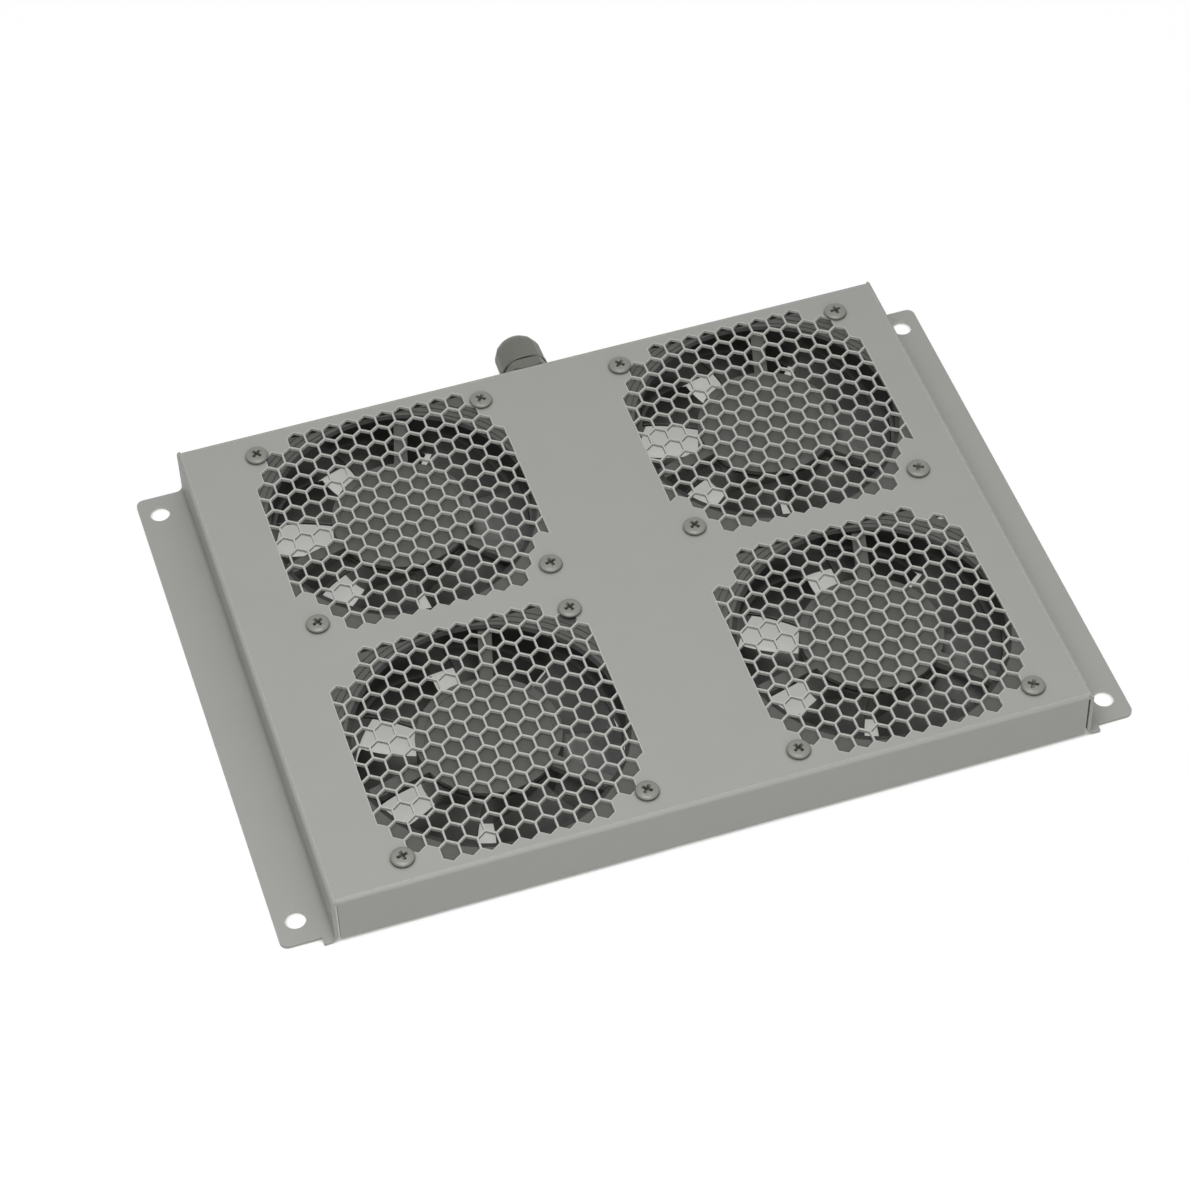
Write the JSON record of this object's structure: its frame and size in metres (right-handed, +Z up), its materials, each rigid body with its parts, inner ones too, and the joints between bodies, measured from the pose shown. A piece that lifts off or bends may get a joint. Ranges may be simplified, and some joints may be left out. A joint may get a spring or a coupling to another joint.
{
  "type": "rack fan tray",
  "caption": "Shallow folded sheet-metal tray with side mounting flanges and a cable gland, holding axial fans under honeycomb grilles.",
  "frame": {"origin": "middle of the four holes of the side flanges, on the flanges' underside", "axes": "+X along the tray's width, to the right seen from the front; +Y to the back, where the cable gland is; +Z up, through the grilles"},
  "size_m": [0.376, 0.29, 0.0289],
  "materials": {
    "sheet_paint": "satin powder coat, light warm grey",
    "fan_frame": "die-cast, grey coat",
    "fan_plastic": "glass-filled plastic, black",
    "bearing_bronze": "sintered bronze",
    "core_steel": "stacked laminations",
    "winding_copper": "enamelled wire",
    "magnet": "bonded ferrite",
    "shaft_steel": "ground",
    "tinned_brass": "tinned",
    "zinc_steel": "zinc plated, satin",
    "gland_plastic": "moulded polyamide, grey",
    "seal_rubber": "moulded rubber"
  },
  "bodies": {
    "root": {"top_plate": "sheet_paint", "side_rail_left": "sheet_paint", "side_rail_right": "sheet_paint", "front_skirt": "sheet_paint", "back_skirt": "sheet_paint", "fan_housing_back_left": "fan_frame", "sleeve_bearing_back_left": "bearing_bronze", "stator_core_back_left": "core_steel", "stator_coils_back_left": "winding_copper", "terminal_holder_back_left": "fan_plastic", "terminal_tabs_back_left": "tinned_brass", "fan_screws_back_left": "zinc_steel", "fan_nuts_back_left": "zinc_steel", "fan_housing_back_right": "fan_frame", "sleeve_bearing_back_right": "bearing_bronze", "stator_core_back_right": "core_steel", "stator_coils_back_right": "winding_copper", "terminal_holder_back_right": "fan_plastic", "terminal_tabs_back_right": "tinned_brass", "fan_screws_back_right": "zinc_steel", "fan_nuts_back_right": "zinc_steel", "fan_housing_front_left": "fan_frame", "sleeve_bearing_front_left": "bearing_bronze", "stator_core_front_left": "core_steel", "stator_coils_front_left": "winding_copper", "terminal_holder_front_left": "fan_plastic", "terminal_tabs_front_left": "tinned_brass", "fan_screws_front_left": "zinc_steel", "fan_nuts_front_left": "zinc_steel", "fan_housing_front_right": "fan_frame", "sleeve_bearing_front_right": "bearing_bronze", "stator_core_front_right": "core_steel", "stator_coils_front_right": "winding_copper", "terminal_holder_front_right": "fan_plastic", "terminal_tabs_front_right": "tinned_brass", "fan_screws_front_right": "zinc_steel", "fan_nuts_front_right": "zinc_steel", "gland_body": "gland_plastic", "gland_washer": "seal_rubber", "gland_locknut": "gland_plastic", "gland_dome_nut": "gland_plastic", "gland_seal": "seal_rubber"},
    "impeller_back_left": {"impeller_back_left": "fan_plastic", "magnet_ring_back_left": "magnet", "shaft_back_left": "shaft_steel"},
    "impeller_back_right": {"impeller_back_right": "fan_plastic", "magnet_ring_back_right": "magnet", "shaft_back_right": "shaft_steel"},
    "impeller_front_left": {"impeller_front_left": "fan_plastic", "magnet_ring_front_left": "magnet", "shaft_front_left": "shaft_steel"},
    "impeller_front_right": {"impeller_front_right": "fan_plastic", "magnet_ring_front_right": "magnet", "shaft_front_right": "shaft_steel"}
  },
  "joints": [
    {"name": "spin_back_left", "type": "hinge", "parent": "root", "child": "impeller_back_left", "pos_m": [-0.08, 0.0625, 0.0125], "axis": [0, 0, 1], "continuous": true},
    {"name": "spin_back_right", "type": "hinge", "parent": "root", "child": "impeller_back_right", "pos_m": [0.091, 0.0625, 0.0125], "axis": [0, 0, 1], "continuous": true},
    {"name": "spin_front_left", "type": "hinge", "parent": "root", "child": "impeller_front_left", "pos_m": [-0.08, -0.0695, 0.0125], "axis": [0, 0, 1], "continuous": true},
    {"name": "spin_front_right", "type": "hinge", "parent": "root", "child": "impeller_front_right", "pos_m": [0.091, -0.0695, 0.0125], "axis": [0, 0, 1], "continuous": true}
  ]
}
